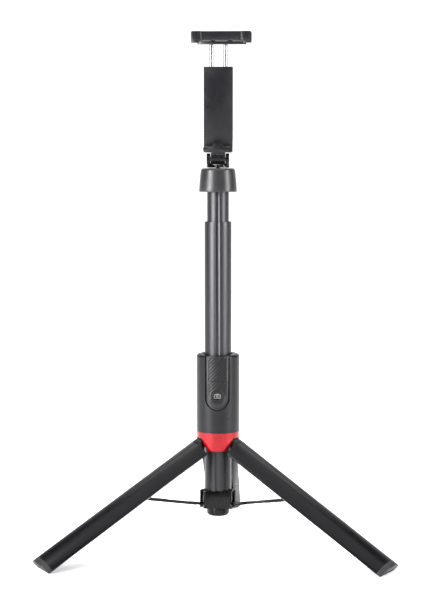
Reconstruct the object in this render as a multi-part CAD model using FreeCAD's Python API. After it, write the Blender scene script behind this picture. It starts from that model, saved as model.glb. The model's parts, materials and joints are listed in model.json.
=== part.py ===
import FreeCAD, Part
import math
import os

# A telescopic selfie stick that stands on its own folding tripod.
#
# Millimetres, +Z up.  The pole's centre line is the Z axis and Z = 0 is the ground
# under the spread legs.  The front, where the remote sits, faces -Y.
#
# How it works: the outermost tube slides through the handle.  Its lower end carries a
# hub with three struts.  Pulling the tube up spreads the legs, as here; pushing it
# down folds them flush around the tube.  Three more tubes telescope out of the first,
# and the innermost one carries the phone clamp.

V = FreeCAD.Vector

# ---- Driving dimensions ---------------------------------------------------------------
RUNNING_GAP = 0.3                 # between pieces that move past each other

JOINT_HEIGHT = 89.6               # ground to the line between handle and leg ring
HANDLE_RADIUS = 16.0
HANDLE_LENGTH = 58.0

TUBE_RADII = [9.95, 8.05, 6.35, 4.90]
TUBE_WALLS = [0.90, 0.80, 0.70, 0.60]
TUBE_BOTTOMS = [-44.5, 2.0, 8.0, 14.0]      # measured from JOINT_HEIGHT
TUBE_TOPS = [156.1, 191.8, 192.2, 194.3]
GROOVE_DEPTHS = [0.80, 0.65, 0.50, 0.35]
GROOVE_RADII = [3.2, 2.6, 2.0, 1.6]         # hollow of the pressed groove

RING_BAND = 4.4                   # height of the coloured ring's plain band
TONGUE_BOTTOM = 13.3              # how far the ring's tongues reach below the handle
NOTCH_FLARE = [(-4.4, 3.95), (-7.5, 4.7), (-10.5, 7.0), (-13.3, 9.3)]
KNUCKLE_FLARE = [(-4.4, 3.6), (-8.2, 3.9), (-11.0, 5.6), (-13.3, 8.6)]
HINGE_DROP = 6.9                  # leg hinge below the handle
PIVOT_RADIUS = 12.7               # every leg and strut pivot sits this far out, folded
LEG_AZIMUTHS = [90.0, 210.0, 330.0]
LEG_SPREAD = 59.5                 # leg angle away from the pole when open
LEG_LENGTH = 154.5                # hinge to the tip of the foot
FOOT_LENGTH = 4.9
FOOT_ROUNDING = 1.6
LEG_WALL = 1.5
LEG_HALF_ANGLE = 59.2             # a folded leg wraps this far each way round the pole
LEG_INNER_RADIUS = 10.3
KNUCKLE_RADIUS = 2.2
KNUCKLE_HALF_WIDTH = 3.6

STRUT_PIVOT = 71.5                # along the leg, hinge to strut pivot
HUB_PIVOT_DROP = 54.6             # hub pivot below the handle when open
STRUT_HALF_WIDTH = 1.5
STRUT_HALF_HEIGHT = 1.1
STRUT_LAP = 30.0                  # the strut is a half-width blade over this last part
STRUT_SHORT = 6.0                 # the blade stops this far before the hub pivot
EYE_LENGTH = 11.0
PIN_RADIUS = 0.8

HUB_BOTTOM = 57.5
HUB_SPIGOT = 9.0
EAR_RADIUS = 13.6
EAR_GAP = 1.9
EAR_OUTSIDE = 4.0
PLUG_BOTTOM = 64.0
PLUG_RADIUS = 8.4

CAP_BOTTOM = 178.1
CAP_TOP = 195.5
CAP_BOTTOM_RADIUS = 14.0
CAP_MIDDLE_RADIUS = 13.55          # the flank bulges a little
CAP_TOP_RADIUS = 12.75

NECK_BOTTOM = 195.8
TILT_HEIGHT = 202.2
NECK_HALF_WIDTH = 8.25
EAR_THICKNESS = 2.6
NECK_EAR_RADIUS = 4.2

LOWER_SEAT = 211.3
LOWER_JAW_BOTTOM = 206.9
LOWER_JAW_HALF_WIDTH = 10.7
UPPER_SEAT = 288.3
UPPER_JAW_TOP = 295.2
UPPER_JAW_HALF_WIDTH = 22.2
UPPER_JAW_OFFSET = 2.5            # the wide jaw sits a little to one side
JAW_HALF_DEPTH = 6.2
PHONE_HALF_DEPTH = 4.2
HOUSING_BOTTOM = 216.0
HOUSING_TOP = 270.0
HOUSING_BACK = 12.4
ROD_SPACING = 10.4
ROD_RADIUS = 1.5
ROD_BOTTOM = 245.0
SPRING_TOP = 267.0

POCKET_HALF_WIDTH = 9.1
POCKET_BOTTOM = 17.0
REMOTE_HALF_WIDTH = 8.7
REMOTE_BOTTOM = 17.4
REMOTE_TOP = 57.2
REMOTE_SPLIT = 38.9
REMOTE_BACK = 11.5
REMOTE_RIM = 15.0                 # the tray's rim shows as a sunk border
COVER_BACK = 14.4
REMOTE_FACE = 15.7
COVER_HALF_WIDTH = 7.0
RIB_FIELD_HALF_WIDTH = 6.4
RIB_PITCH = 1.85                  # across the ribs
BUTTON_HEIGHT = 27.7
BUTTON_RADIUS = 4.4

# ---- Worked out from the dimensions above -----------------------------------------------
HINGE_HEIGHT = JOINT_HEIGHT - HINGE_DROP
STRUT_RUN = STRUT_PIVOT * math.sin(math.radians(LEG_SPREAD))
STRUT_PIVOT_HEIGHT = HINGE_HEIGHT - STRUT_PIVOT * math.cos(math.radians(LEG_SPREAD))
HUB_PIVOT_HEIGHT = JOINT_HEIGHT - HUB_PIVOT_DROP
STRUT_RISE = STRUT_PIVOT_HEIGHT - HUB_PIVOT_HEIGHT
STRUT_LENGTH = math.hypot(STRUT_RUN, STRUT_RISE)
STRUT_LEAN = math.degrees(math.atan2(STRUT_RUN, STRUT_RISE))


# ---- Small helpers ------------------------------------------------------------------------
def box(x0, x1, y0, y1, z0, z1):
    return Part.makeBox(x1 - x0, y1 - y0, z1 - z0, V(x0, y0, z0))


def rod(radius, z0, z1, x=0.0, y=0.0):
    return Part.makeCylinder(radius, z1 - z0, V(x, y, z0))


def pipe(outer, inner, z0, z1, x=0.0, y=0.0):
    return rod(outer, z0, z1, x, y).cut(rod(inner, z0 - 1, z1 + 1, x, y))


def bar_y(radius, x, z, y0, y1):
    return Part.makeCylinder(radius, y1 - y0, V(x, y0, z), V(0, 1, 0))


def bar_x(radius, y, z, x0, x1):
    return Part.makeCylinder(radius, x1 - x0, V(x0, y, z), V(1, 0, 0))


def face_of(points):
    return Part.Face(Part.makePolygon(points + [points[0]]))


def turned(points):
    """Solid of revolution about Z from (radius, height) points."""
    profile = face_of([V(r, 0, z) for r, z in points])
    return profile.revolve(V(0, 0, 0), V(0, 0, 1), 360)


def rounded(shape, radius, picker):
    edges = [edge for edge in shape.Edges if picker(edge)]
    return shape.makeFillet(radius, edges)


def clean(shape):
    shape = shape.removeSplitter()
    if len(shape.Solids) == 1:
        return shape.Solids[0]
    return Part.makeCompound(shape.Solids)


def group(shapes):
    return Part.makeCompound([solid for shape in shapes for solid in shape.Solids])


def at_azimuth(shape, azimuth):
    """Turns a shape built toward +X to the leg's direction."""
    copy = shape.copy()
    copy.rotate(V(0, 0, 0), V(0, 0, 1), azimuth)
    return copy


def opened(shape):
    """Swings a leg piece, built folded and toward +X, out to its open angle."""
    copy = shape.copy()
    copy.rotate(V(PIVOT_RADIUS, 0, HINGE_HEIGHT), V(0, -1, 0), LEG_SPREAD)
    return copy


def save(name, shape):
    if not shape.isValid():
        raise ValueError(name + " is not a valid solid")
    shape.exportStep("parts/" + name + ".step")


# ---- Telescopic tubes ---------------------------------------------------------------------
def groove(index, extra, z0, z1):
    """Round bar that presses the front groove into tube number index."""
    radius = GROOVE_RADII[index] + extra
    centre = TUBE_RADII[index] - GROOVE_DEPTHS[index] + GROOVE_RADII[index]
    return rod(radius, z0, z1, y=-centre)


def tube(index):
    """Thin tube with a shallow round groove pressed along its front."""
    z0 = JOINT_HEIGHT + TUBE_BOTTOMS[index]
    z1 = JOINT_HEIGHT + TUBE_TOPS[index]
    radius = TUBE_RADII[index]
    wall = TUBE_WALLS[index]
    outside = rod(radius, z0, z1).cut(groove(index, 0.0, z0 - 1, z1 + 1))
    inside = rod(radius - wall, z0 - 1, z1 + 1).cut(groove(index, wall, z0 - 2, z1 + 2))
    return clean(outside.cut(inside))


def inside_ridge(index, z0, z1):
    """The room that tube number index needs inside it for its pressed groove."""
    return groove(index, TUBE_WALLS[index] + 0.1, z0 - 1, z1 + 1)


def mouth_collar(index):
    """Guide ring pressed into the mouth of tube number index."""
    bore = TUBE_RADII[index] - TUBE_WALLS[index]
    z1 = JOINT_HEIGHT + TUBE_TOPS[index] - 0.5
    z0 = z1 - 9.0
    ring = pipe(bore - 0.02, TUBE_RADII[index + 1] + 0.08, z0, z1)
    return clean(ring.cut(inside_ridge(index, z0, z1)))


def foot_bush(index):
    """Split guide bush clipped round the lower end of tube number index."""
    z0 = JOINT_HEIGHT + TUBE_BOTTOMS[index]
    z1 = z0 + 8.0
    bore = TUBE_RADII[index - 1] - TUBE_WALLS[index - 1]
    ring = pipe(bore - 0.08, TUBE_RADII[index] + 0.02, z0, z1)
    return clean(ring.cut(inside_ridge(index - 1, z0, z1)))


# ---- Hub, struts and their fittings ---------------------------------------------------------
def spreader_hub():
    """Hub on the lower tube: three slotted lobes that blend into a round barrel."""
    z0 = JOINT_HEIGHT - HUB_BOTTOM
    z1 = JOINT_HEIGHT + TUBE_BOTTOMS[0]
    barrel = TUBE_RADII[0]
    hub = rod(barrel, z0, z1)
    spigot = rod(barrel - TUBE_WALLS[0] - 0.05, z1, z1 + HUB_SPIGOT)
    hub = hub.fuse(spigot.cut(inside_ridge(0, z1 + 1, z1 + HUB_SPIGOT)))
    corner = V(EAR_RADIUS, EAR_OUTSIDE, z0)
    reach = math.hypot(corner.x, corner.y)
    tangent = math.atan2(corner.y, corner.x) + math.acos(barrel / reach)
    touch = V(barrel * math.cos(tangent), barrel * math.sin(tangent), z0)
    outline = face_of([V(0, 0, z0), V(touch.x, -touch.y, z0), V(corner.x, -corner.y, z0), corner, touch])
    lobe = outline.extrude(V(0, 0, z1 - z0))
    lobe = rounded(lobe, 1.6, lambda e: abs(e.CenterOfMass.x - EAR_RADIUS) < 0.01 and abs(e.Length - (z1 - z0)) < 0.01)
    slot = box(barrel, EAR_RADIUS + 2, -EAR_GAP, EAR_GAP, z0 - 1, z1 + 1)
    for azimuth in LEG_AZIMUTHS:
        hub = hub.fuse(at_azimuth(lobe, azimuth))
    for azimuth in LEG_AZIMUTHS:
        hub = hub.cut(at_azimuth(slot, azimuth))
    hub = hub.cut(rod(1.5, z0 - 1, z0 + 12))
    for pin in hub_pins().Solids:
        hub = hub.cut(pin)
    return clean(hub)


def hub_pins():
    pin = Part.makeCylinder(PIN_RADIUS, EAR_OUTSIDE - 0.2,
                            V(PIVOT_RADIUS, -EAR_OUTSIDE, HUB_PIVOT_HEIGHT), V(0, 1, 0))
    return group([at_azimuth(pin, azimuth) for azimuth in LEG_AZIMUTHS])


def end_plug():
    z1 = JOINT_HEIGHT - HUB_BOTTOM
    z0 = JOINT_HEIGHT - PLUG_BOTTOM
    plug = rounded(rod(PLUG_RADIUS, z0, z1), 2.6, lambda e: abs(e.CenterOfMass.z - z0) < 0.01)
    plug = plug.cut(rod(1.5, z0 - 1, z1 + 1))
    plug = plug.cut(rod(2.9, z0 - 1, z0 + 2.2))
    return clean(plug)


def end_screw():
    z0 = JOINT_HEIGHT - PLUG_BOTTOM + 0.3
    screw = rod(2.8, z0, z0 + 1.9).fuse(rod(1.5, z0 + 1.9, z0 + 16))
    slots = box(-2.0, 2.0, -0.3, 0.3, z0 - 1, z0 + 0.8).fuse(box(-0.3, 0.3, -2.0, 2.0, z0 - 1, z0 + 0.8))
    return clean(screw.cut(slots))


def along_strut(shape):
    """Places a strut piece, built along +X from the hub pivot, at its open angle."""
    copy = shape.copy()
    copy.rotate(V(0, 0, 0), V(0, -1, 0), 90.0 - STRUT_LEAN)
    copy.translate(V(PIVOT_RADIUS, 0, HUB_PIVOT_HEIGHT))
    return copy


def strut():
    high = STRUT_HALF_HEIGHT
    wide = STRUT_HALF_WIDTH
    channel = box(STRUT_LAP, STRUT_LENGTH, -wide, wide, -high, high)
    channel = channel.fuse(Part.makeCylinder(1.5, 2 * wide, V(STRUT_LENGTH, -wide, 0), V(0, 1, 0)))
    channel = channel.cut(box(STRUT_LAP + 2, STRUT_LENGTH - 5, -0.8, 0.8, -0.3, high + 1))
    blade = box(STRUT_SHORT, STRUT_LAP, 0.15, wide, -high, high)
    shape = channel.fuse(blade)
    shape = shape.cut(Part.makeCylinder(PIN_RADIUS + 0.03, 9, V(STRUT_LENGTH, -4.5, 0), V(0, 1, 0)))
    return clean(along_strut(shape))


def strut_eye():
    high = STRUT_HALF_HEIGHT
    wide = STRUT_HALF_WIDTH
    blade = box(0, EYE_LENGTH, -wide, -0.15, -high, high)
    blade = blade.fuse(Part.makeCylinder(1.5, wide - 0.15, V(0, -wide, 0), V(0, 1, 0)))
    blade = blade.cut(Part.makeCylinder(PIN_RADIUS + 0.03, 9, V(0, -4.5, 0), V(0, 1, 0)))
    return clean(along_strut(blade))


def strut_pin():
    pin = Part.makeCylinder(PIN_RADIUS, 8.0, V(PIVOT_RADIUS, -4.0, HINGE_HEIGHT - STRUT_PIVOT), V(0, 1, 0))
    return opened(pin)


# ---- Legs -----------------------------------------------------------------------------------
def sector(outer, inner, half_angle, z0, z1):
    """Part of a ring, centred on +X."""
    ring = pipe(outer, inner, z0, z1)
    reach = 2.5 * outer
    angle = math.radians(half_angle)
    far = V(reach * math.cos(angle), reach * math.sin(angle), z0 - 1)
    wedge = face_of([V(0, 0, z0 - 1), V(far.x, -far.y, z0 - 1), V(reach, -far.y, z0 - 1),
                     V(reach, far.y, z0 - 1), far])
    return ring.common(wedge.extrude(V(0, 0, z1 - z0 + 2)))


def flared_block(widths, top, bottom):
    """Block reaching outward, its front outline given as (height, half width) pairs."""
    right = [(width, JOINT_HEIGHT + height) for height, width in widths]
    right = [(right[0][0], top)] + right + [(right[-1][0], bottom)]
    left = [(-width, height) for width, height in reversed(right)]
    face = face_of([V(9.0, y, z) for y, z in right + left])
    return face.extrude(V(9.0, 0, 0))


def leg_knuckle():
    """Moulded upper end of a leg: hinge barrel, flared web and a tongue into the shell."""
    top = HINGE_HEIGHT - 1.3
    seam = JOINT_HEIGHT - TONGUE_BOTTOM - 0.4
    barrel = Part.makeCylinder(KNUCKLE_RADIUS, 2 * KNUCKLE_HALF_WIDTH,
                               V(PIVOT_RADIUS, -KNUCKLE_HALF_WIDTH, HINGE_HEIGHT), V(0, 1, 0))
    web = sector(HANDLE_RADIUS, 10.9, 50.0, seam, top)
    web = web.common(flared_block(KNUCKLE_FLARE, HINGE_HEIGHT, seam - 5))
    neck = box(10.9, 14.7, -KNUCKLE_HALF_WIDTH, KNUCKLE_HALF_WIDTH, top - 1, HINGE_HEIGHT)
    insert = sector(HANDLE_RADIUS - LEG_WALL - 0.05, 11.0, 26.0, seam - 9.0, seam + 1.0)
    shape = barrel.fuse(web).fuse(neck).fuse(insert)
    shape = shape.cut(Part.makeCylinder(PIN_RADIUS + 0.13, 20, V(PIVOT_RADIUS, -10, HINGE_HEIGHT), V(0, 1, 0)))
    return clean(opened(clean(shape)))


def leg_shell():
    top = JOINT_HEIGHT - TONGUE_BOTTOM - 0.4
    bottom = HINGE_HEIGHT - LEG_LENGTH + FOOT_LENGTH
    shape = sector(HANDLE_RADIUS, LEG_INNER_RADIUS, LEG_HALF_ANGLE, bottom, top)
    hollow = rod(HANDLE_RADIUS - LEG_WALL, bottom - 1, top + 1)
    inner_half_angle = LEG_HALF_ANGLE - 5.2
    hollow = hollow.common(sector(HANDLE_RADIUS, 1.0, inner_half_angle, bottom - 1, top + 1))
    shape = shape.cut(hollow)
    middle = HINGE_HEIGHT - STRUT_PIVOT
    for side in (-1, 1):
        low, high = sorted((side * EAR_GAP, side * EAR_OUTSIDE))
        lug = box(10.7, 15.0, low, high, middle - 2.2, middle + 2.2)
        shape = shape.fuse(lug)
    for height in (middle + 34.0, middle - 40.0):
        rib = sector(HANDLE_RADIUS - LEG_WALL + 0.3, 14.1, LEG_HALF_ANGLE - 5.0, height - 0.6, height + 0.6)
        shape = shape.fuse(rib)
    shape = shape.cut(Part.makeCylinder(PIN_RADIUS, 8, V(PIVOT_RADIUS, -4, middle), V(0, 1, 0)))
    return clean(opened(clean(shape)))


def leg_foot():
    """Solid rubber foot that closes the leg's end, trimmed flat where it meets the ground."""
    top = HINGE_HEIGHT - LEG_LENGTH + FOOT_LENGTH
    bottom = top - FOOT_LENGTH
    chord = LEG_INNER_RADIUS * math.cos(math.radians(LEG_HALF_ANGLE))
    cap = sector(HANDLE_RADIUS, 1.0, LEG_HALF_ANGLE, bottom, top)
    cap = clean(cap.common(box(chord, 20, -20, 20, bottom - 1, top + 1)))
    cap = rounded(cap, FOOT_ROUNDING, lambda e: abs(e.CenterOfMass.z - bottom) < 0.01
                  and e.CenterOfMass.x > PIVOT_RADIUS)
    slope = face_of([V(4.0, 0, bottom - 1), V(4.0, 0, bottom + 2.7), V(HANDLE_RADIUS, 0, bottom),
                     V(HANDLE_RADIUS, 0, bottom - 1)])
    slope.translate(V(0, -20, 0))
    cap = cap.cut(slope.extrude(V(0, 40, 0)))
    insert = sector(HANDLE_RADIUS - LEG_WALL - 0.05, 11.0, 50.0, top - 1.0, top + 6.0)
    shape = opened(clean(cap.fuse(insert)))
    return clean(shape.common(box(0, 250, -60, 60, 0, 100)))


def leg_pins():
    pin = Part.makeCylinder(PIN_RADIUS + 0.1, 14.4, V(PIVOT_RADIUS, -7.2, HINGE_HEIGHT), V(0, 1, 0))
    return group([at_azimuth(pin, azimuth) for azimuth in LEG_AZIMUTHS])


# ---- Ring and handle -------------------------------------------------------------------------
def ring_screws(radius_extra=0.0):
    shapes = []
    for azimuth in LEG_AZIMUTHS:
        shaft = rod(0.9 + radius_extra, JOINT_HEIGHT - 2.6, JOINT_HEIGHT + 7.0, x=13.3)
        head = rod(1.6 + radius_extra, JOINT_HEIGHT - 3.9, JOINT_HEIGHT - 2.6, x=13.3)
        shapes.append(at_azimuth(shaft.fuse(head), azimuth + 60.0))
    return group([clean(shape) for shape in shapes])


def leg_ring():
    """Coloured ring: a plain band with three tongues that carry the leg hinges."""
    z0 = JOINT_HEIGHT - TONGUE_BOTTOM
    ring = pipe(HANDLE_RADIUS, TUBE_RADII[0] + 0.35, z0, JOINT_HEIGHT)
    notch = flared_block(NOTCH_FLARE, JOINT_HEIGHT - RING_BAND, z0 - 2)
    for azimuth in LEG_AZIMUTHS:
        ring = ring.cut(at_azimuth(notch, azimuth))
    ring = ring.fuse(pipe(11.05, TUBE_RADII[0] + 0.35, JOINT_HEIGHT, JOINT_HEIGHT + 5.5))
    ring = ring.cut(leg_pins())
    ring = ring.cut(ring_screws())
    return clean(ring)


def pocket(half_width, bottom, top, front, back):
    """U-shaped block, open at the top, for the remote and its seat."""
    centre = bottom + half_width
    block = box(-half_width, half_width, front, back, centre, top)
    return block.fuse(bar_y(half_width, 0, centre, front, back))


def handle_shell():
    top = JOINT_HEIGHT + HANDLE_LENGTH
    shell = rod(HANDLE_RADIUS, JOINT_HEIGHT, top)
    shell = rounded(shell, 2.2, lambda e: abs(e.CenterOfMass.z - top) < 0.01)
    shell = shell.cut(rod(11.15, JOINT_HEIGHT - 1, top + 1))
    seat = pocket(POCKET_HALF_WIDTH, JOINT_HEIGHT + POCKET_BOTTOM, top + 1, -20, -8)
    shell = shell.cut(seat)
    shell = shell.cut(ring_screws())
    return clean(shell)


def handle_liner():
    return pipe(11.1, TUBE_RADII[0] + 0.35, JOINT_HEIGHT + 5.8, JOINT_HEIGHT + HANDLE_LENGTH - 0.6)


# ---- Remote control ----------------------------------------------------------------------------
def remote_layer(inner, outer, half_width, bottom, top):
    """A curved slice of the remote between two radii of the handle."""
    block = pocket(half_width, JOINT_HEIGHT + bottom, JOINT_HEIGHT + top, -20, -8)
    return block.common(pipe(outer, inner, JOINT_HEIGHT + bottom - 1, JOINT_HEIGHT + top + 1))


def remote_back():
    tray = remote_layer(REMOTE_BACK, REMOTE_RIM, REMOTE_HALF_WIDTH, REMOTE_BOTTOM, REMOTE_TOP)
    border = REMOTE_HALF_WIDTH - COVER_HALF_WIDTH - 0.1
    well = pocket(COVER_HALF_WIDTH + 0.1, JOINT_HEIGHT + REMOTE_BOTTOM + border,
                  JOINT_HEIGHT + REMOTE_TOP + 1.0, -20, -11.9)
    well = well.cut(rod(COVER_BACK - 0.1, JOINT_HEIGHT + REMOTE_TOP - 1.0, JOINT_HEIGHT + REMOTE_TOP + 2.0))
    return clean(tray.cut(well))


def cut_ribs(cover, z0, z1):
    """Slanting grip ribs: stepped parallel grooves inside a smooth border."""
    field = pocket(RIB_FIELD_HALF_WIDTH, JOINT_HEIGHT + REMOTE_BOTTOM + 2.0,
                   JOINT_HEIGHT + REMOTE_TOP - 0.6, -20, -8)
    field = field.common(box(-20, 20, -20, 0, z0, z1))
    keep = bar_y(BUTTON_RADIUS + 1.3, 0, JOINT_HEIGHT + BUTTON_HEIGHT, -20, 0)
    field = field.cut(keep)
    for half_width, depth in ((RIB_PITCH * 0.27, 0.35), (RIB_PITCH * 0.16, 0.8)):
        shell = pipe(30.0, REMOTE_FACE - depth, z0 - 1, z1 + 1).common(field)
        grooves = []
        for step in range(-8, 12):
            bar = box(-20, 20, -20, 0, -half_width, half_width)
            bar.rotate(V(0, 0, 0), V(0, -1, 0), 45)
            bar.translate(V(0, 0, JOINT_HEIGHT + REMOTE_SPLIT + step * RIB_PITCH * math.sqrt(2)))
            grooves.append(bar)
        cover = cover.cut(grooves[0].fuse(grooves[1:]).common(shell))
    return cover


def remote_cover(bottom, top):
    """One of the two raised covers that fill the tray's border."""
    border = REMOTE_HALF_WIDTH - COVER_HALF_WIDTH
    plate = remote_layer(COVER_BACK, REMOTE_FACE, COVER_HALF_WIDTH, REMOTE_BOTTOM + border, REMOTE_TOP)
    return plate.common(box(-20, 20, -20, 0, JOINT_HEIGHT + bottom, JOINT_HEIGHT + top))


def remote_front_cover():
    top = REMOTE_SPLIT - 0.15
    cover = remote_cover(REMOTE_BOTTOM, top)
    cover = cut_ribs(cover, JOINT_HEIGHT + BUTTON_HEIGHT, JOINT_HEIGHT + top - 0.7)
    hole = bar_y(BUTTON_RADIUS + 0.2, 0, JOINT_HEIGHT + BUTTON_HEIGHT, -20, 0)
    return clean(cover.cut(hole))


def remote_battery_cover():
    bottom = REMOTE_SPLIT + 0.15
    cover = remote_cover(bottom, REMOTE_TOP)
    return clean(cut_ribs(cover, JOINT_HEIGHT + bottom + 0.7, JOINT_HEIGHT + REMOTE_TOP))


def circuit_board():
    z0 = JOINT_HEIGHT + REMOTE_BOTTOM + 5.2
    return box(-5.6, 5.6, -12.7, -11.95, z0, JOINT_HEIGHT + 41.8)


def tact_switch():
    z = JOINT_HEIGHT + BUTTON_HEIGHT
    body = box(-1.6, 1.6, -13.2, -12.72, z - 1.6, z + 1.6)
    return clean(body.fuse(bar_y(0.8, 0, z, -13.35, -13.2)))


def coin_battery():
    cell = bar_y(4.9, 0, JOINT_HEIGHT + 47.5, -13.1, -11.95)
    return clean(rounded(cell, 0.25, lambda e: True))


def shutter_button():
    z = JOINT_HEIGHT + BUTTON_HEIGHT
    cap = bar_y(BUTTON_RADIUS, 0, z, -REMOTE_FACE, -COVER_BACK - 0.4)
    cap = rounded(cap, 0.35, lambda e: abs(e.CenterOfMass.y + REMOTE_FACE) < 0.01 and e.Length > 15)
    dish = Part.makeSphere(16.0, V(0, -REMOTE_FACE - 15.75, z))
    stem = bar_y(1.0, 0, z, -COVER_BACK - 0.6, -13.9)
    return clean(cap.cut(dish).fuse(stem))


# ---- Head -------------------------------------------------------------------------------------
def head_cap():
    """Hollow bell that covers the tube mouths and slips over the lower tube."""
    z0 = JOINT_HEIGHT + CAP_BOTTOM
    z1 = JOINT_HEIGHT + CAP_TOP
    shoulder = z1 - 2.2
    arc = Part.Arc(V(CAP_TOP_RADIUS, 0, shoulder), V(CAP_TOP_RADIUS - 0.65, 0, z1 - 0.65),
                   V(CAP_TOP_RADIUS - 2.2, 0, z1)).toShape()
    flank = Part.Arc(V(CAP_BOTTOM_RADIUS, 0, z0), V(CAP_MIDDLE_RADIUS, 0, z0 + 7.6),
                     V(CAP_TOP_RADIUS, 0, shoulder)).toShape()
    closing = Part.makePolygon([V(CAP_TOP_RADIUS - 2.2, 0, z1), V(0, 0, z1), V(0, 0, z0),
                                V(CAP_BOTTOM_RADIUS, 0, z0)])
    wire = Part.Wire([flank, arc] + closing.Edges)
    bell = Part.Face(wire).revolve(V(0, 0, 0), V(0, 0, 1), 360)
    bell = bell.cut(turned([(0, z0 - 1), (12.5, z0 - 1), (12.5, z0), (10.9, z0 + 10.0),
                            (10.5, z1 - 2.9), (0, z1 - 2.9)]))
    bell = bell.cut(rod(TUBE_RADII[3] + 0.02, z1 - 5, z1 - 1.15))
    bell = bell.cut(rod(1.55, z1 - 3, z1 + 1))
    return clean(bell)


def head_plug():
    """Plug in the innermost tube that takes the swivel screw."""
    z1 = JOINT_HEIGHT + TUBE_TOPS[3]
    plug = rod(TUBE_RADII[3] - TUBE_WALLS[3] - 0.02, z1 - 12, z1)
    plug = plug.cut(rod(1.56, z1 - 10.5, z1 + 1))
    return clean(plug.cut(inside_ridge(3, z1 - 12, z1)))


def swivel_screw():
    z1 = JOINT_HEIGHT + NECK_BOTTOM + 2.4
    shaft = rod(1.5, JOINT_HEIGHT + TUBE_TOPS[3] - 10.0, z1 - 1.0)
    head = rod(2.6, z1 - 1.0, z1).cut(box(-1.9, 1.9, -0.3, 0.3, z1 - 0.5, z1 + 1))
    return clean(shaft.fuse(head))


def neck_fork():
    """Swivelling fork with two round ears for the tilt hinge."""
    z0 = JOINT_HEIGHT + NECK_BOTTOM
    pivot = JOINT_HEIGHT + TILT_HEIGHT
    base = box(-NECK_HALF_WIDTH, NECK_HALF_WIDTH, -NECK_EAR_RADIUS, NECK_EAR_RADIUS, z0, z0 + 2.1)
    skirt = rod(4.6, z0, z0 + 0.9)
    saddle = box(-NECK_HALF_WIDTH, NECK_HALF_WIDTH, -NECK_EAR_RADIUS, NECK_EAR_RADIUS, z0 + 2.0, pivot - 3.1)
    shape = base.fuse(skirt).fuse(saddle.cut(bar_x(4.3, 0, pivot, -20, 20)))
    for side in (-1, 1):
        low, high = sorted((side * NECK_HALF_WIDTH, side * (NECK_HALF_WIDTH - EAR_THICKNESS)))
        ear = box(low, high, -NECK_EAR_RADIUS, NECK_EAR_RADIUS, z0, pivot)
        shape = shape.fuse(ear).fuse(bar_x(NECK_EAR_RADIUS, 0, pivot, low, high))
    shape = shape.cut(rod(1.6, z0 - 1, z0 + 5))
    shape = shape.cut(rod(2.7, z0 + 1.35, z0 + 2.5))
    shape = shape.cut(bar_x(1.5, 0, pivot, -20, 20))
    shape = shape.cut(bar_x(2.7, 0, pivot, NECK_HALF_WIDTH - 1.5, 20))
    shape = shape.cut(bar_x(2.7, 0, pivot, -20, -NECK_HALF_WIDTH + 1.5))
    return clean(shape)


def tilt_bolt():
    pivot = JOINT_HEIGHT + TILT_HEIGHT
    shaft = bar_x(1.5, 0, pivot, -NECK_HALF_WIDTH + 0.3, NECK_HALF_WIDTH - 1.5)
    head = bar_x(2.6, 0, pivot, NECK_HALF_WIDTH - 1.5, NECK_HALF_WIDTH - 0.1)
    slot = box(NECK_HALF_WIDTH - 0.7, 20, -1.9, 1.9, pivot - 0.3, pivot + 0.3)
    return clean(shaft.fuse(head).cut(slot))


def tilt_nut():
    pivot = JOINT_HEIGHT + TILT_HEIGHT
    corners = []
    for step in range(6):
        angle = math.radians(60 * step + 30)
        corners.append(V(-NECK_HALF_WIDTH + 0.2, 2.6 * math.cos(angle), pivot + 2.6 * math.sin(angle)))
    nut = face_of(corners).extrude(V(1.3, 0, 0))
    return clean(nut.cut(bar_x(1.5, 0, pivot, -20, 20)))


def clamp_body():
    """Lower jaw, back wall, spring housing and the tilt knuckle, moulded in one."""
    z = JOINT_HEIGHT
    jaw = box(-LOWER_JAW_HALF_WIDTH, LOWER_JAW_HALF_WIDTH, -JAW_HALF_DEPTH, JAW_HALF_DEPTH,
              z + LOWER_JAW_BOTTOM, z + LOWER_SEAT - 0.6)
    jaw = rounded(jaw, 1.3, lambda e: abs(e.Length - 2 * JAW_HALF_DEPTH) < 0.01
                  and e.CenterOfMass.z < z + LOWER_JAW_BOTTOM + 0.1)
    lip = box(-3.8, 3.8, -JAW_HALF_DEPTH, -PHONE_HALF_DEPTH, z + LOWER_SEAT - 0.7, z + LOWER_SEAT + 2.4)
    lip = rounded(lip, 1.6, lambda e: e.Length < 2.1 and e.CenterOfMass.z > z + LOWER_SEAT + 2.3)
    wall = box(-LOWER_JAW_HALF_WIDTH, LOWER_JAW_HALF_WIDTH, PHONE_HALF_DEPTH, JAW_HALF_DEPTH,
               z + LOWER_JAW_BOTTOM + 1.0, z + HOUSING_TOP)
    housing = box(-LOWER_JAW_HALF_WIDTH, LOWER_JAW_HALF_WIDTH, JAW_HALF_DEPTH - 0.1, HOUSING_BACK - 1.2,
                  z + HOUSING_BOTTOM, z + HOUSING_TOP)
    cavity = box(-8.9, 8.9, 5.7, HOUSING_BACK, z + HOUSING_BOTTOM + 2.0, z + SPRING_TOP)
    shape = jaw.fuse(lip).fuse(wall).fuse(housing.cut(cavity))
    for side in (-1, 1):
        shape = shape.cut(rod(ROD_RADIUS + 0.15, z + SPRING_TOP - 1, z + HOUSING_TOP + 1,
                              x=side * ROD_SPACING / 2, y=8.7))
    pivot = z + TILT_HEIGHT
    knuckle = bar_x(4.0, 0, pivot, -5.3, 5.3)
    web = box(-5.3, 5.3, -3.0, 3.0, pivot, z + LOWER_JAW_BOTTOM + 0.5)
    knuckle = knuckle.fuse(web)
    for x in (-3.2, -1.6, 0.0, 1.6, 3.2):
        flute = bar_x(4.3, 0, pivot, x - 0.4, x + 0.4).cut(bar_x(3.4, 0, pivot, -20, 20))
        knuckle = knuckle.cut(flute)
    knuckle = knuckle.cut(bar_x(1.6, 0, pivot, -20, 20))
    return clean(shape.fuse(knuckle))


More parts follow.
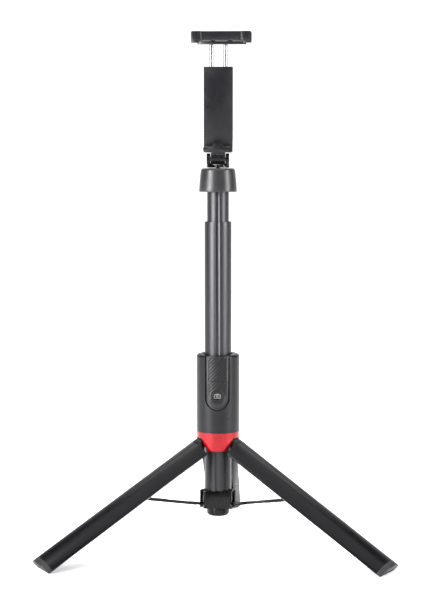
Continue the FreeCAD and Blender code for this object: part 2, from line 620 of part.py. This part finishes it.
def clamp_back_cover():
    z = JOINT_HEIGHT
    plate = box(-LOWER_JAW_HALF_WIDTH, LOWER_JAW_HALF_WIDTH, HOUSING_BACK - 1.15, HOUSING_BACK,
                z + HOUSING_BOTTOM, z + HOUSING_TOP)
    plate = rounded(plate, 0.7, lambda e: abs(e.CenterOfMass.y - HOUSING_BACK) < 0.01)
    return clean(plate.cut(clamp_screws()))


def clamp_screws():
    shapes = []
    for side in (-1, 1):
        for height in (HOUSING_BOTTOM + 4.0, HOUSING_TOP - 4.0):
            z = JOINT_HEIGHT + height
            shapes.append(bar_y(1.5, side * 7.2, z, HOUSING_BACK - 0.9, HOUSING_BACK - 0.1))
    return group(shapes)


def lower_jaw_pad():
    z = JOINT_HEIGHT + LOWER_SEAT
    return box(-9.5, 9.5, -PHONE_HALF_DEPTH + 0.2, PHONE_HALF_DEPTH - 0.2, z - 0.58, z)


def upper_jaw():
    """Sprung jaw: a wide bar with a lip at each end and a plate to the guide rods."""
    z = JOINT_HEIGHT
    x0 = UPPER_JAW_OFFSET - UPPER_JAW_HALF_WIDTH
    x1 = UPPER_JAW_OFFSET + UPPER_JAW_HALF_WIDTH
    bar = box(x0, x1, -JAW_HALF_DEPTH, JAW_HALF_DEPTH, z + UPPER_SEAT + 0.6, z + UPPER_JAW_TOP)
    bar = rounded(bar, 1.4, lambda e: abs(e.Length - 2 * JAW_HALF_DEPTH) < 0.01
                  and e.CenterOfMass.z > z + UPPER_JAW_TOP - 0.1)
    dip = box(x0 + 7.0, x1 - 7.0, -JAW_HALF_DEPTH - 1, -JAW_HALF_DEPTH + 1.2, z + UPPER_SEAT, z + UPPER_JAW_TOP + 1)
    bar = bar.cut(rounded(dip, 1.1, lambda e: abs(e.CenterOfMass.y + JAW_HALF_DEPTH - 1.2) < 0.01
                          and abs(e.CenterOfMass.x - UPPER_JAW_OFFSET) > 10))
    shape = bar
    for left in (x0, x1 - 6.0):
        lip = box(left, left + 6.0, -JAW_HALF_DEPTH, -PHONE_HALF_DEPTH, z + UPPER_SEAT - 1.6, z + UPPER_SEAT + 1.0)
        shape = shape.fuse(lip)
    bridge = box(-8.0, 8.0, JAW_HALF_DEPTH - 0.5, 11.2, z + UPPER_SEAT + 0.6, z + UPPER_JAW_TOP - 1.0)
    back = box(x0 + 4, x1 - 4, PHONE_HALF_DEPTH, JAW_HALF_DEPTH, z + UPPER_SEAT - 2.0, z + UPPER_SEAT + 1.0)
    shape = shape.fuse(bridge).fuse(back)
    for side in (-1, 1):
        shape = shape.cut(rod(ROD_RADIUS, z + UPPER_SEAT - 1, z + UPPER_JAW_TOP - 2.5,
                              x=side * ROD_SPACING / 2, y=8.7))
    return clean(shape)


def upper_jaw_pads():
    z = JOINT_HEIGHT + UPPER_SEAT
    pads = []
    for middle in (-12.5, 0.0, 12.5):
        x = UPPER_JAW_OFFSET + middle
        pads.append(box(x - 4.5, x + 4.5, -PHONE_HALF_DEPTH + 0.2, PHONE_HALF_DEPTH - 0.2, z, z + 0.58))
    return group(pads)


def guide_rods():
    z = JOINT_HEIGHT
    shapes = []
    for side in (-1, 1):
        shaft = rod(ROD_RADIUS, z + ROD_BOTTOM, z + UPPER_JAW_TOP - 2.5, x=side * ROD_SPACING / 2, y=8.7)
        collar = rod(2.3, z + ROD_BOTTOM, z + ROD_BOTTOM + 1.6, x=side * ROD_SPACING / 2, y=8.7)
        shapes.append(clean(shaft.fuse(collar)))
    return group(shapes)


def clamp_springs():
    wire_radius = 0.32
    coil_radius = 2.1
    z0 = JOINT_HEIGHT + ROD_BOTTOM + 1.6 + wire_radius
    z1 = JOINT_HEIGHT + SPRING_TOP - wire_radius
    shapes = []
    for side in (-1, 1):
        pitch = (z1 - z0) / 8.0
        helix = Part.makeHelix(pitch, z1 - z0, coil_radius)
        circle = Part.makeCircle(wire_radius, V(coil_radius, 0, 0), V(0, 1, 0))
        coil = Part.Wire(helix.Edges).makePipeShell([Part.Wire(circle)], True, True)
        coil.translate(V(side * ROD_SPACING / 2, 8.7, z0))
        shapes.append(coil)
    return group(shapes)


# ---- Write every piece ----------------------------------------------------------------------
def main():
    os.makedirs("parts", exist_ok=True)
    for index in range(4):
        save("tube_" + str(index + 1), tube(index))
    for index in range(3):
        save("tube_collar_" + str(index + 1), mouth_collar(index))
        save("tube_bush_" + str(index + 2), foot_bush(index + 1))
    save("spreader_hub", spreader_hub())
    save("hub_pins", hub_pins())
    save("end_plug", end_plug())
    save("end_screw", end_screw())
    for number, azimuth in enumerate(LEG_AZIMUTHS, start=1):
        save("leg_knuckle_" + str(number), at_azimuth(leg_knuckle(), azimuth))
        save("leg_shell_" + str(number), at_azimuth(leg_shell(), azimuth))
        save("leg_foot_" + str(number), at_azimuth(leg_foot(), azimuth))
        save("strut_" + str(number), at_azimuth(strut(), azimuth))
        save("strut_pin_" + str(number), at_azimuth(strut_pin(), azimuth))
        save("strut_eye_" + str(number), at_azimuth(strut_eye(), azimuth))
    save("leg_pins", leg_pins())
    save("leg_ring", leg_ring())
    save("ring_screws", ring_screws())
    save("handle_shell", handle_shell())
    save("handle_liner", handle_liner())
    save("remote_back", remote_back())
    save("remote_front_cover", remote_front_cover())
    save("remote_battery_cover", remote_battery_cover())
    save("circuit_board", circuit_board())
    save("tact_switch", tact_switch())
    save("coin_battery", coin_battery())
    save("shutter_button", shutter_button())
    save("head_cap", head_cap())
    save("head_plug", head_plug())
    save("swivel_screw", swivel_screw())
    save("neck_fork", neck_fork())
    save("tilt_bolt", tilt_bolt())
    save("tilt_nut", tilt_nut())
    save("clamp_body", clamp_body())
    save("clamp_back_cover", clamp_back_cover())
    save("clamp_screws", clamp_screws())
    save("lower_jaw_pad", lower_jaw_pad())
    save("upper_jaw", upper_jaw())
    save("upper_jaw_pads", upper_jaw_pads())
    save("guide_rods", guide_rods())
    save("clamp_springs", clamp_springs())


main()
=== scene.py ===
import bmesh
import bpy
import json
import math
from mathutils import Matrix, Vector


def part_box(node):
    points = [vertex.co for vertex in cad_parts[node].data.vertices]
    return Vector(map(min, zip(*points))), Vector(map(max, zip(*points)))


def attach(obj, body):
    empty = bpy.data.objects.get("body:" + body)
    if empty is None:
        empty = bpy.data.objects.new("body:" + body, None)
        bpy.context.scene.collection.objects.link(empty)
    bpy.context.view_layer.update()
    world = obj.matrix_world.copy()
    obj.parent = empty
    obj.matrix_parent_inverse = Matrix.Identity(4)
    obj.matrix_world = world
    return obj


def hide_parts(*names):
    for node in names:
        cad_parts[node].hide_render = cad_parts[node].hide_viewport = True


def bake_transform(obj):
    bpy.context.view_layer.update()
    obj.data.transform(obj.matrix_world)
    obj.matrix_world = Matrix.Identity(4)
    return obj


# A black telescopic selfie stick that stands on its own folding tripod.
# Metres, +Z up, front towards -Y.  Places come from the frame's nodes.

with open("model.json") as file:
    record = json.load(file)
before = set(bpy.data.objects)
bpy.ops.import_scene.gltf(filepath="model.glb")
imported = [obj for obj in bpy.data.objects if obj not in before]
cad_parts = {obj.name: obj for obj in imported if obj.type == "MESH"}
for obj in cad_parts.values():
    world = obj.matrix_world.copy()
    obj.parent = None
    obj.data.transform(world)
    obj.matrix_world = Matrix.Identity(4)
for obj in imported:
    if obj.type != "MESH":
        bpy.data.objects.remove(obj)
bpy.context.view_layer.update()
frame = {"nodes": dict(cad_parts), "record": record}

# ---- Driving values -------------------------------------------------------------------
CAMERA_DISTANCE = 1.170             # from the pole's centre line
CAMERA_TURN = math.radians(2.2)     # the camera stands this far round to the right
CAMERA_HEIGHT = 0.2905
CAMERA_PITCH = math.radians(-4.89)  # it looks down by this much
CAMERA_LENS = 130.5                 # millimetres, as is the sensor's width
CAMERA_SENSOR = 36.0
CAMERA_FAR = 60.0                   # nothing is seen beyond this

FLOOR_REACH = 12.0                  # to each side, to the front and up the backdrop
FLOOR_GAP = 0.0002                  # the floor lies this far below the feet
FLOOR_GLOW = 0.12                   # lifts the floor to white
SWEEP_START = 3.0                   # where the floor begins to curve up behind the object
SWEEP_RADIUS = 8.0
SWEEP_STEPS = 16
SUN_TILT = math.radians(16)         # the overhead light leans to the front
SUN_WIDTH = math.radians(70)        # a wide sun has a very soft shadow
BOX_CENTRE = 0.50                   # height of the soft boxes' middle
BOX_TALL = 0.86
BOX_DISTANCE = 1.1                  # from the pole's centre line

SPRING_WIRE = 0.00032               # radius of the wire
SPRING_TURNS = 9
SPRING_STEPS = 16                   # points in one turn
WIRE_ROUNDNESS = 2

SYMBOL_WIDTH = 0.0046               # the camera printed on the shutter button
SYMBOL_HEIGHT = 0.0028
SYMBOL_LINE = 0.00028
SYMBOL_LENS = 0.30 * SYMBOL_HEIGHT  # radius of the lens ring
SYMBOL_HUMP = 0.17 * SYMBOL_WIDTH   # half the top width of the hump over the body
HUMP_RATIO = 1.35                   # the hump's top over the body's, and its foot over its top
LENS_SIDES = 28
SYMBOL_CUTS = 7                     # cuts in each long line, so that it can bend with the dish
INK_THICKNESS = 0.00005
INK_LIFT = 0.00002                  # the ink stands this far out of the dish
DISH_DEPTH = 0.00025                # the finger dish it is printed in
DISH_RADIUS = 0.016

WELD_DISTANCE = 0.000002            # corners nearer than this are one corner
FLAT_ANGLE = math.radians(0.2)      # faces that meet at less than this are one face
SMOOTH_ANGLE = math.radians(32)     # sharper edges are rounded, the others shade smooth
BEVEL_SEGMENTS = 3
WALL_DEPTH = 0.00005                # a corner this near the outermost one is on the wall
WALL_FACING = 0.99                  # how squarely a face of the wall looks outward

ROUND_PIECES = ("handle_shell", "leg_ring", "tube_1", "tube_2")
LEGS = (1, 2, 3)
BEVELS = {
    "handle_shell": 0.0004,
    "leg_ring": 0.0003,
    "head_cap": 0.0004,
    "neck_fork": 0.0005,
    "clamp_body": 0.0004,
    "clamp_back_cover": 0.0002,
    "upper_jaw": 0.0004,
    "upper_jaw_pads": 0.0002,
    "lower_jaw_pad": 0.0002,
    "remote_back": 0.0002,
    "remote_front_cover": 0.00012,
    "remote_battery_cover": 0.00012,
    "spreader_hub": 0.0003,
    "end_plug": 0.0002,
    "tube_1": 0.00015,
    "tube_2": 0.00015,
}
LEG_BEVELS = {
    "leg_shell": 0.0003,
    "leg_knuckle": 0.0003,
    "leg_foot": 0.0005,
    "strut": 0.0002,
    "strut_eye": 0.00015,
}


# ---- Material nodes -------------------------------------------------------------------
class Nodes:
    """A short way to write a node tree around one Principled shader."""

    PATTERN_LOW = 0.3      # where the noise texture's values mostly lie
    PATTERN_HIGH = 0.7
    FIRST_COLOUR = 6       # the mix node's sockets for colours
    SECOND_COLOUR = 7
    MIXED_COLOUR = 2

    def __init__(self, name):
        self.material = bpy.data.materials.new(name)
        self.material.use_nodes = True
        self.tree = self.material.node_tree
        self.shader = self.tree.nodes["Principled BSDF"]
        self.place = self.add("ShaderNodeTexCoord").outputs["Object"]

    def add(self, kind, **values):
        node = self.tree.nodes.new(kind)
        for key, value in values.items():
            setattr(node, key, value)
        return node

    def link(self, output, socket):
        self.tree.links.new(output, socket)

    def stretched(self, scale):
        """Object coordinates scaled along each axis, in features per metre."""
        mapping = self.add("ShaderNodeMapping")
        mapping.inputs["Scale"].default_value = scale
        self.link(self.place, mapping.inputs["Vector"])
        return mapping.outputs["Vector"]

    def noise(self, scale, detail=4.0, rough=0.55, where=None):
        node = self.add("ShaderNodeTexNoise")
        node.inputs["Scale"].default_value = scale
        node.inputs["Detail"].default_value = detail
        node.inputs["Roughness"].default_value = rough
        self.link(where or self.place, node.inputs["Vector"])
        return node.outputs["Fac"]

    def spread(self, value, low, high):
        """Maps a pattern onto a range."""
        node = self.add("ShaderNodeMapRange")
        node.inputs["From Min"].default_value = self.PATTERN_LOW
        node.inputs["From Max"].default_value = self.PATTERN_HIGH
        node.inputs["To Min"].default_value = low
        node.inputs["To Max"].default_value = high
        self.link(value, node.inputs["Value"])
        return node.outputs["Result"]

    def blend(self, factor, first, second):
        """A colour between two, by a pattern."""
        node = self.add("ShaderNodeMix", data_type="RGBA")
        self.link(factor, node.inputs["Factor"])
        node.inputs[self.FIRST_COLOUR].default_value = (*first, 1.0)
        node.inputs[self.SECOND_COLOUR].default_value = (*second, 1.0)
        return node.outputs[self.MIXED_COLOUR]

    def bump(self, height, strength, distance):
        node = self.add("ShaderNodeBump")
        node.inputs["Strength"].default_value = strength
        node.inputs["Distance"].default_value = distance
        self.link(height, node.inputs["Height"])
        return node.outputs["Normal"]

    def finish(self, color, rough, normal, **constants):
        self.link(color, self.shader.inputs["Base Color"])
        self.link(rough, self.shader.inputs["Roughness"])
        self.link(normal, self.shader.inputs["Normal"])
        for key, value in constants.items():
            self.shader.inputs[key.replace("_", " ")].default_value = value
        return self.material


def shade(color, factor):
    return tuple(min(1.0, channel * factor) for channel in color)


def moulded(name, color, rough, grain_depth=0.00002, **constants):
    """Moulded plastic: fine spark-eroded grain and a slow change of tone."""
    n = Nodes(name)
    tone = n.noise(60.0, detail=3.0)
    tint = n.blend(n.spread(tone, 0.0, 1.0), shade(color, 0.82), shade(color, 1.18))
    roughness = n.spread(n.noise(190.0, detail=5.0), rough - 0.05, rough + 0.06)
    grain = n.bump(n.noise(1400.0, detail=2.0), 0.35, grain_depth)
    return n.finish(tint, roughness, grain, **constants)


def drawn_metal(name, color, rough, **constants):
    """Anodised tube: faint marks along its length."""
    n = Nodes(name)
    lengthwise = n.stretched((1700.0, 1700.0, 9.0))
    marks = n.noise(1.0, detail=6.0, rough=0.65, where=lengthwise)
    tint = n.blend(n.spread(marks, 0.0, 1.0), shade(color, 0.80), shade(color, 1.22))
    clouds = n.spread(n.noise(45.0, detail=3.0), rough - 0.04, rough + 0.05)
    normal = n.bump(marks, 0.12, 0.00001)
    return n.finish(tint, clouds, normal, **constants)


def coated_metal(name, color, rough, **constants):
    """Powder-coated sheet: very fine orange peel."""
    n = Nodes(name)
    tint = n.blend(n.spread(n.noise(75.0), 0.0, 1.0), shade(color, 0.85), shade(color, 1.2))
    roughness = n.spread(n.noise(240.0, detail=5.0), rough - 0.04, rough + 0.05)
    peel = n.bump(n.noise(900.0, detail=2.0), 0.25, 0.00002)
    return n.finish(tint, roughness, peel, **constants)


def anodised_red(name, color):
    """Red anodising over a fine turned surface."""
    n = Nodes(name)
    turned = n.noise(1.0, detail=5.0, where=n.stretched((35.0, 35.0, 3200.0)))
    cloud = n.spread(n.noise(120.0, detail=4.0), 0.0, 1.0)
    tint = n.blend(cloud, shade(color, 0.88), shade(color, 1.12))
    roughness = n.spread(turned, 0.26, 0.38)
    return n.finish(tint, roughness, n.bump(turned, 0.15, 0.00001), Metallic=0.6,
                    Specular_IOR_Level=0.15, Coat_Weight=0.35, Coat_Roughness=0.14)


def turned_steel(name, color):
    """Small turned pins and screws."""
    n = Nodes(name)
    marks = n.noise(900.0, detail=6.0)
    tint = n.blend(n.spread(marks, 0.0, 1.0), shade(color, 0.85), shade(color, 1.1))
    return n.finish(tint, n.spread(marks, 0.22, 0.4), n.bump(marks, 0.1, 0.00001), Metallic=1.0)


def soft_rubber(name, color, rough=0.72):
    """Matt rubber with a dusty bloom."""
    n = Nodes(name)
    bloom = n.spread(n.noise(160.0, detail=6.0), 0.0, 1.0)
    tint = n.blend(bloom, shade(color, 0.8), shade(color, 1.3))
    roughness = n.spread(n.noise(400.0), rough - 0.08, rough + 0.08)
    grain = n.bump(n.noise(2100.0, detail=2.0), 0.5, 0.00003)
    return n.finish(tint, roughness, grain, Specular_IOR_Level=0.25)


def solder_mask(name, color):
    """Green circuit board with faint tracks."""
    n = Nodes(name)
    tracks = n.add("ShaderNodeTexBrick")
    tracks.inputs["Scale"].default_value = 420.0
    n.link(n.place, tracks.inputs["Vector"])
    tint = n.blend(tracks.outputs["Fac"], color, shade(color, 1.7))
    roughness = n.spread(n.noise(500.0), 0.25, 0.4)
    return n.finish(tint, roughness, n.bump(tracks.outputs["Fac"], 0.2, 0.00003))


def make_materials():
    return {
        "handle_black": moulded("handle_black", (0.006, 0.006, 0.007), 0.32, Specular_IOR_Level=0.17),
        "liner_black": moulded("liner_black", (0.010, 0.010, 0.011), 0.5, Specular_IOR_Level=0.3),
        "tube_black": drawn_metal("tube_black", (0.030, 0.030, 0.032), 0.37, Metallic=0.85,
                                  Specular_IOR_Level=0.3),
        "ring_red": anodised_red("ring_red", (0.22, 0.0015, 0.005)),
        "leg_black": coated_metal("leg_black", (0.002, 0.002, 0.0025), 0.30, Specular_IOR_Level=0.1),
        "knuckle_black": moulded("knuckle_black", (0.003, 0.003, 0.003), 0.38, Specular_IOR_Level=0.12),
        "foot_rubber": soft_rubber("foot_rubber", (0.007, 0.007, 0.008), 0.5),
        "strut_black": coated_metal("strut_black", (0.003, 0.003, 0.003), 0.30, Specular_IOR_Level=0.15),
        "hub_black": moulded("hub_black", (0.003, 0.0028, 0.0028), 0.26, Specular_IOR_Level=0.16),
        "pin_steel": turned_steel("pin_steel", (0.20, 0.20, 0.21)),
        "spring_steel": turned_steel("spring_steel", (0.55, 0.55, 0.56)),
        "cap_grey": moulded("cap_grey", (0.012, 0.012, 0.013), 0.34, Specular_IOR_Level=0.30),
        "neck_gloss": moulded("neck_gloss", (0.002, 0.002, 0.002), 0.16, grain_depth=0.000004,
                              Specular_IOR_Level=0.3),
        "clamp_black": moulded("clamp_black", (0.005, 0.005, 0.006), 0.32, Specular_IOR_Level=0.27),
        "jaw_pad": soft_rubber("jaw_pad", (0.05, 0.05, 0.05)),
        "remote_black": moulded("remote_black", (0.009, 0.009, 0.010), 0.32, Specular_IOR_Level=0.22),
        "button_black": moulded("button_black", (0.003, 0.003, 0.003), 0.22, grain_depth=0.000004,
                                Specular_IOR_Level=0.25),
        "board_green": solder_mask("board_green", (0.02, 0.12, 0.05)),
        "cell_steel": turned_steel("cell_steel", (0.6, 0.6, 0.62)),
        "icon_grey": moulded("icon_grey", (0.16, 0.16, 0.165), 0.45),
    }


materials = make_materials()
node_slot = {part["node"]: part["material_slot"] for part in frame["record"]["subparts"]}
node_body = {node: body for body, nodes in frame["record"]["behaviour"]["bodies"].items()
             for node in nodes}


def paint(thing, slot):
    thing.data.materials.clear()
    thing.data.materials.append(materials[slot])


def place_in_scene(name, data):
    """A new object that holds the data."""
    thing = bpy.data.objects.new(name, data)
    bpy.context.scene.collection.objects.link(thing)
    return thing


# ---- Refined skins of the CAD pieces -----------------------------------------------------
def merge_flat_faces(data):
    """Makes one face of each flat stretch that the CAD mesh has in triangles."""
    mesh = bmesh.new()
    mesh.from_mesh(data)
    bmesh.ops.remove_doubles(mesh, verts=mesh.verts, dist=WELD_DISTANCE)
    bmesh.ops.dissolve_limit(mesh, angle_limit=FLAT_ANGLE, verts=mesh.verts, edges=mesh.edges)
    mesh.to_mesh(data)
    mesh.free()


def round_edges(skin, bevel):
    """Rounds the sharp edges and shades the others smooth."""
    modifier = skin.modifiers.new("rounded_edges", "BEVEL")
    modifier.width = bevel
    modifier.segments = BEVEL_SEGMENTS
    modifier.limit_method = "ANGLE"
    modifier.angle_limit = SMOOTH_ANGLE
    modifier.use_clamp_overlap = True
    modifier.harden_normals = True
    bpy.context.view_layer.objects.active = skin
    skin.select_set(True)
    bpy.ops.object.modifier_apply(modifier=modifier.name)
    skin.select_set(False)
    for face in skin.data.polygons:
        face.use_smooth = True
    skin.data.set_sharp_from_angle(angle=SMOOTH_ANGLE)


def refined(node, bevel):
    """A copy of a CAD piece with its moulded or broken edges rounded, in the piece's place."""
    skin = place_in_scene(node + "_skin", frame["nodes"][node].data.copy())
    merge_flat_faces(skin.data)
    round_edges(skin, bevel)
    paint(skin, node_slot[node])
    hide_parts(node)
    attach(skin, node_body[node])
    return skin


def true_round(skin):
    """Exact cylinder normals for the outer wall of a piece centred on the pole."""
    mesh = skin.data
    radius = max(math.hypot(vert.co.x, vert.co.y) for vert in mesh.vertices)
    normals = [Vector(corner.vector) for corner in mesh.corner_normals]
    for face in mesh.polygons:
        for index in face.loop_indices:
            place = mesh.vertices[mesh.loops[index].vertex_index].co
            outward = Vector((place.x, place.y, 0.0))
            at_wall = outward.length > radius - WALL_DEPTH
            if at_wall and face.normal.dot(outward.normalized()) > WALL_FACING:
                normals[index] = outward.normalized()
    mesh.normals_split_custom_set(normals)


def finish_nodes():
    """Paints every piece, and gives those that have a bevel a rounded skin."""
    bevels = dict(BEVELS)
    for name, bevel in LEG_BEVELS.items():
        bevels.update({name + "_" + str(leg): bevel for leg in LEGS})
    for node, thing in frame["nodes"].items():
        paint(thing, node_slot[node])
        if node in bevels:
            skin = refined(node, bevels[node])
            if node in ROUND_PIECES:
                true_round(skin)


finish_nodes()


# ---- Springs in the clamp ------------------------------------------------------------------
def coil(wire, middle_x, middle_y, radius, bottom, length):
    """One helix of wire that climbs from the bottom over the length."""
    steps = SPRING_TURNS * SPRING_STEPS
    spline = wire.splines.new("POLY")
    spline.points.add(steps)
    for step, point in enumerate(spline.points):
        angle = 2 * math.pi * step / SPRING_STEPS
        point.co = (middle_x + radius * math.cos(angle),
                    middle_y + radius * math.sin(angle),
                    bottom + length * step / steps, 1.0)


def clamp_springs():
    """Two wire coils round the guide rods, between collar and housing."""
    low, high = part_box("clamp_springs")
    reach = (high.y - low.y) / 2
    wire = bpy.data.curves.new("spring_wire", "CURVE")
    wire.dimensions = "3D"
    wire.bevel_depth = SPRING_WIRE
    wire.bevel_resolution = WIRE_ROUNDNESS
    for middle_x in (low.x + reach, high.x - reach):
        coil(wire, middle_x, low.y + reach, reach - SPRING_WIRE, low.z + SPRING_WIRE,
             high.z - low.z - 2 * SPRING_WIRE)
    bent = place_in_scene("spring_wire", wire)
    mesh = bpy.data.meshes.new_from_object(bent)
    bpy.data.objects.remove(bent)
    coils = place_in_scene("spring_coils", mesh)
    for face in mesh.polygons:
        face.use_smooth = True
    paint(coils, "spring_steel")
    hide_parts("clamp_springs")
    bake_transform(coils)


clamp_springs()


# ---- Camera symbol on the button ---------------------------------------------------------
def body_outline(inset):
    """The camera's body with its hump, drawn in by the inset."""
    wide = SYMBOL_WIDTH / 2 - inset
    tall = SYMBOL_HEIGHT / 2 - inset
    hump = SYMBOL_HUMP - inset / 2
    foot = hump * HUMP_RATIO
    top = tall * HUMP_RATIO
    return [(-wide, -tall), (wide, -tall), (wide, tall), (foot, tall),
            (hump, top), (-hump, top), (-foot, tall), (-wide, tall)]


def lens_outline(radius):
    """A circle round the middle of the camera's body."""
    angles = [2 * math.pi * side / LENS_SIDES for side in range(LENS_SIDES)]
    return [(radius * math.cos(angle), radius * math.sin(angle)) for angle in angles]


def stroke(mesh, outer, inner):
    """The band between two outlines that have the same number of points."""
    outer_verts = [mesh.verts.new(Vector((x, 0.0, z))) for x, z in outer]
    inner_verts = [mesh.verts.new(Vector((x, 0.0, z))) for x, z in inner]
    for index in range(len(outer)):
        following = (index + 1) % len(outer)
        mesh.faces.new((outer_verts[index], outer_verts[following],
                        inner_verts[following], inner_verts[index]))


def lay_in_dish(mesh):
    """Moves the flat drawing onto the button and bends it to the finger dish."""
    low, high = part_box("shutter_button")
    centre = (low + high) / 2
    for vert in mesh.verts:
        dish = DISH_DEPTH - (vert.co.x ** 2 + vert.co.z ** 2) / (2 * DISH_RADIUS)
        vert.co = Vector((centre.x + vert.co.x, low.y + dish - INK_LIFT, centre.z + vert.co.z))


def camera_symbol():
    """A plain camera outline printed in the button's dish: body, lens ring and hump."""
    mesh = bmesh.new()
    stroke(mesh, body_outline(0.0), body_outline(SYMBOL_LINE))
    stroke(mesh, lens_outline(SYMBOL_LENS), lens_outline(SYMBOL_LENS - SYMBOL_LINE))
    long_edges = [edge for edge in mesh.edges if edge.calc_length() > SYMBOL_WIDTH / 4]
    bmesh.ops.subdivide_edges(mesh, edges=long_edges, cuts=SYMBOL_CUTS)
    lay_in_dish(mesh)
    mesh.normal_update()
    data = bpy.data.meshes.new("camera_symbol")
    mesh.to_mesh(data)
    mesh.free()
    symbol = place_in_scene("camera_symbol", data)
    thickness = symbol.modifiers.new("ink", "SOLIDIFY")
    thickness.thickness = INK_THICKNESS
    data.materials.append(materials["icon_grey"])
    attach(symbol, "button")


camera_symbol()


# ---- Floor, lights and camera ------------------------------------------------------------
def floor_material():
    """Matt near-white paint that glows faintly."""
    n = Nodes("studio_floor")
    tint = n.blend(n.spread(n.noise(6.0), 0.0, 1.0), (0.90, 0.90, 0.90), (0.92, 0.92, 0.92))
    roughness = n.spread(n.noise(30.0), 0.75, 0.85)
    grain = n.bump(n.noise(500.0), 0.05, 0.0001)
    return n.finish(tint, roughness, grain, Specular_IOR_Level=0.1,
                    Emission_Color=(1.0, 1.0, 1.0, 1.0), Emission_Strength=FLOOR_GLOW)


def floor():
    """A pale floor that curves up into a backdrop far behind the object."""
    profile = [(-FLOOR_REACH, 0.0), (SWEEP_START, 0.0)]
    for step in range(1, SWEEP_STEPS + 1):
        angle = math.radians(90 * step / SWEEP_STEPS)
        profile.append((SWEEP_START + SWEEP_RADIUS * math.sin(angle),
                        SWEEP_RADIUS * (1 - math.cos(angle))))
    profile.append((SWEEP_START + SWEEP_RADIUS, FLOOR_REACH))
    mesh = bmesh.new()
    left = [mesh.verts.new(Vector((-FLOOR_REACH, y, z - FLOOR_GAP))) for y, z in profile]
    right = [mesh.verts.new(Vector((FLOOR_REACH, y, z - FLOOR_GAP))) for y, z in profile]
    for index in range(len(profile) - 1):
        mesh.faces.new((left[index], right[index], right[index + 1], left[index + 1])).smooth = True
    data = bpy.data.meshes.new("studio_floor")
    mesh.to_mesh(data)
    mesh.free()
    data.materials.append(floor_material())
    sweep = place_in_scene("studio_floor", data)


def soft_light(name, place, target, width, height, power):
    data = bpy.data.lights.new(name, "AREA")
    data.shape = "RECTANGLE"
    data.size = width
    data.size_y = height
    data.energy = power
    light = place_in_scene(name, data)
    light.location = place
    light.rotation_euler = (Vector(target) - Vector(place)).to_track_quat("-Z", "Y").to_euler()


def studio_light_all_round(strength, energy):
    """Even fill from every side, with a very soft sun from above for the floor."""
    studio = bpy.data.worlds.new("studio")
    studio.use_nodes = True
    background = studio.node_tree.nodes["Background"]
    background.inputs["Color"].default_value = (1.0, 1.0, 1.0, 1.0)
    background.inputs["Strength"].default_value = strength
    bpy.context.scene.world = studio
    data = bpy.data.lights.new("overhead", "SUN")
    data.energy = energy
    data.angle = SUN_WIDTH
    sun = place_in_scene("overhead", data)
    sun.rotation_euler = (SUN_TILT, 0.0, 0.0)


def box_light(name, azimuth, width, power):
    """A tall soft box that stands beside the camera and faces the pole."""
    angle = math.radians(azimuth)
    place = (BOX_DISTANCE * math.sin(angle), -BOX_DISTANCE * math.cos(angle), BOX_CENTRE)
    soft_light(name, place, (0.0, 0.0, BOX_CENTRE), width, BOX_TALL, power)


def camera():
    data = bpy.data.cameras.new("camera")
    data.sensor_fit = "HORIZONTAL"
    data.sensor_width = CAMERA_SENSOR
    data.lens = CAMERA_LENS
    data.clip_end = CAMERA_FAR
    view = place_in_scene("camera", data)
    view.location = (CAMERA_DISTANCE * math.sin(CAMERA_TURN),
                     -CAMERA_DISTANCE * math.cos(CAMERA_TURN),
                     CAMERA_HEIGHT)
    view.rotation_euler = (math.radians(90) + CAMERA_PITCH, 0.0, CAMERA_TURN)
    bpy.context.scene.camera = view


floor()
studio_light_all_round(strength=0.05, energy=3.4)
box_light("left_box", azimuth=-50.0, width=0.45, power=42.0)
box_light("right_box", azimuth=66.0, width=0.36, power=24.0)
soft_light("top_back", place=(0.0, 0.75, 1.25), target=(0.0, 0.0, 0.10),
           width=1.6, height=0.6, power=12.0)
camera()
bpy.context.scene.view_settings.view_transform = "Standard"
